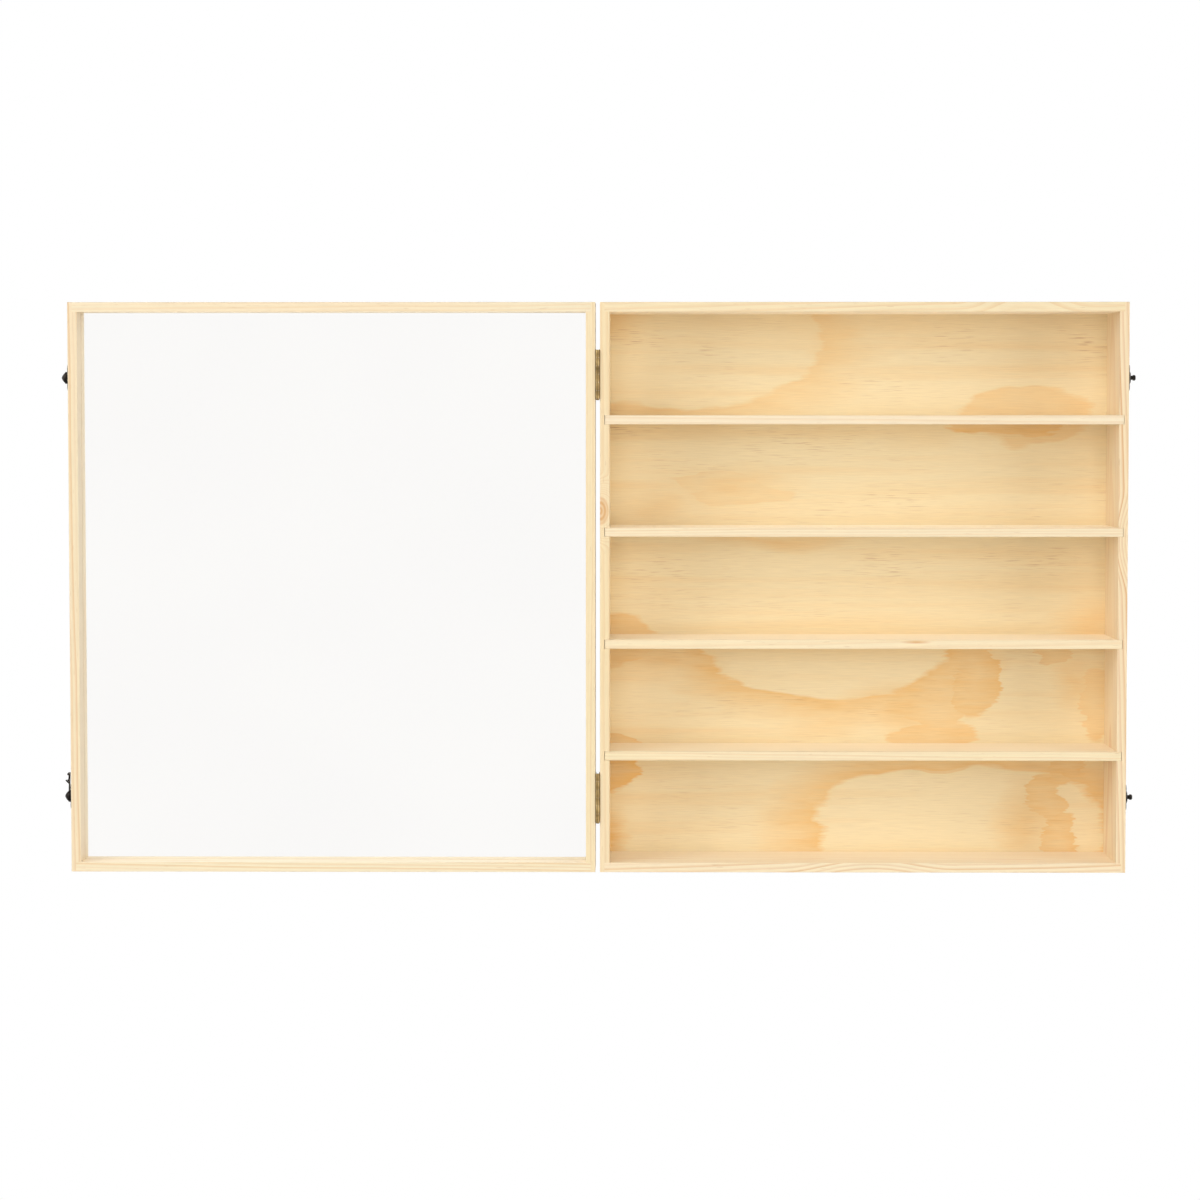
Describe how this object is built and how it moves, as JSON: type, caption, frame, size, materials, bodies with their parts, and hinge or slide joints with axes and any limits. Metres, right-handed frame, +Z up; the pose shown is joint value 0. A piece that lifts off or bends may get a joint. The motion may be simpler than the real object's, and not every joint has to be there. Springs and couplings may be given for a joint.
{
  "type": "wall display cabinet",
  "caption": "Shallow pine wall case with fixed shelves and a hinged clear-paned door that opens flat beside it and fastens with swing hooks.",
  "frame": {"origin": "on the rear edge of the case's top board, halfway along the board and halfway up its thickness, in the plane of the wall", "axes": "+Z up, +Y out of the rear of the case into the wall, +X to the right of someone facing the front, from the open door towards the case"},
  "size_m": [1.0712, 0.1022, 0.5699],
  "materials": {
    "pine": "sanded, unvarnished",
    "pine_plywood": "sanded, rotary-cut face",
    "hinge_bronze": "antique bronze plating",
    "latch_bronze": "darkened bronze plating",
    "zinc_steel": "zinc plated",
    "clear_acrylic": "clear, polished"
  },
  "bodies": {
    "case": {"case_left_side": "pine", "case_right_side": "pine", "case_top": "pine", "case_bottom": "pine", "back_panel": "pine_plywood", "shelf_1": "pine", "shelf_2": "pine", "shelf_3": "pine", "shelf_4": "pine", "hinge_upper_case_leaf": "hinge_bronze", "hinge_lower_case_leaf": "hinge_bronze", "hinge_upper_pin": "hinge_bronze", "hinge_lower_pin": "hinge_bronze", "case_hinge_screws": "hinge_bronze", "keeper_upper_plate": "latch_bronze", "keeper_lower_plate": "latch_bronze", "keeper_upper_stud": "latch_bronze", "keeper_lower_stud": "latch_bronze", "keeper_nails": "latch_bronze", "hanger_left": "zinc_steel", "hanger_right": "zinc_steel", "hanger_nails": "zinc_steel"},
    "door": {"door_latch_stile": "pine", "door_hinge_stile": "pine", "door_top_rail": "pine", "door_bottom_rail": "pine", "door_pane": "clear_acrylic", "hinge_upper_door_leaf": "hinge_bronze", "hinge_lower_door_leaf": "hinge_bronze", "door_hinge_screws": "hinge_bronze", "latch_upper_plate": "latch_bronze", "latch_lower_plate": "latch_bronze", "latch_upper_rivet": "latch_bronze", "latch_lower_rivet": "latch_bronze", "latch_nails": "latch_bronze"},
    "upper_hook": {"hook_upper": "latch_bronze"},
    "lower_hook": {"hook_lower": "latch_bronze"}
  },
  "joints": [
    {"name": "door_hinge", "type": "hinge", "parent": "case", "child": "door", "pos_m": [-0.2653, -0.10025, -0.28025], "axis": [0, 0, 1], "range_deg": [0, 180]},
    {"name": "upper_hook_pivot", "type": "hinge", "parent": "door", "child": "upper_hook", "pos_m": [-0.7936, -0.0905, -0.07045], "axis": [-1, 0, 0], "range_deg": [-180, 90]},
    {"name": "lower_hook_pivot", "type": "hinge", "parent": "door", "child": "lower_hook", "pos_m": [-0.7936, -0.0905, -0.49005], "axis": [-1, 0, 0], "range_deg": [-90, 180]}
  ]
}
